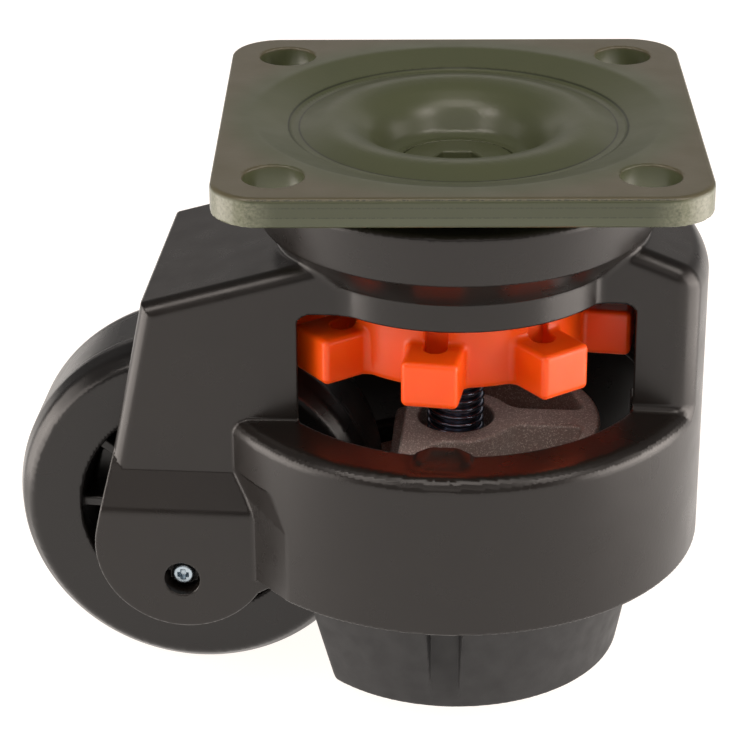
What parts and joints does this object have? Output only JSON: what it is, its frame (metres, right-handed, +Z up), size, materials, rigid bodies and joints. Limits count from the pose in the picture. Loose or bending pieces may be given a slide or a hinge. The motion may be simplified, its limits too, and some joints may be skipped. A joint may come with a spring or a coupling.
{
  "type": "levelling castor",
  "caption": "Swivel castor with a square bolt-on top plate, a trailing wheel and a levelling foot beside it that a star-shaped dial winds down on a screw.",
  "frame": {"origin": "centre of the top plate's mounting face, between its four bolt holes", "axes": "+Z up out of the mounting face, X and Y along the plate's edges, wheel trailing towards -X at rest"},
  "size_m": [0.1417, 0.1012, 0.1209],
  "materials": {
    "olive_coat": "satin powder coat",
    "black_coat": "satin powder coat",
    "dark_steel": "oiled turned steel",
    "screw_steel": "dark rolled thread",
    "bright_steel": "ground",
    "zinc": "bright zinc plate",
    "black_nylon": "satin moulded nylon",
    "red_nylon": "gloss moulded nylon",
    "grey_casting": "grainy tumbled casting",
    "black_rubber": "matt"
  },
  "bodies": {
    "plate": {"top_plate": "olive_coat", "king_bolt": "olive_coat", "lower_cup": "dark_steel"},
    "housing": {"housing": "black_coat", "upper_race": "bright_steel", "lower_race": "bright_steel", "upper_balls": "bright_steel", "lower_balls": "bright_steel", "thrust_plate": "dark_steel", "axle": "bright_steel", "axle_screws": "zinc"},
    "wheel": {"wheel": "black_nylon", "wheel_bushes": "bright_steel"},
    "dial": {"adjusting_dial": "red_nylon", "levelling_screw": "screw_steel", "thrust_washer": "dark_steel", "screw_clip": "dark_steel", "end_clip": "dark_steel"},
    "foot": {"foot_frame": "grey_casting", "foot_pad": "black_rubber", "pad_screws": "zinc"}
  },
  "joints": [
    {"name": "swivel", "type": "hinge", "parent": "plate", "child": "housing", "pos_m": [0, 0, 0], "axis": [0, 0, 1], "continuous": true},
    {"name": "wheel_spin", "type": "hinge", "parent": "housing", "child": "wheel", "pos_m": [-0.05316, 0.0039, -0.0834], "axis": [0.0732, 0.9973, 0], "continuous": true},
    {"name": "dial_turn", "type": "hinge", "parent": "housing", "child": "dial", "pos_m": [0, 0, -0.0432], "axis": [0, 0, 1], "range_deg": [-360, 3240]},
    {"name": "foot_slide", "type": "slide", "parent": "housing", "child": "foot", "axis": [0, 0, -1], "range_m": [-0.00175, 0.01575]}
  ],
  "couplings": [
    {"joint": "dial_turn", "follows": "foot_slide", "rad_per_m": 3590.4}
  ]
}
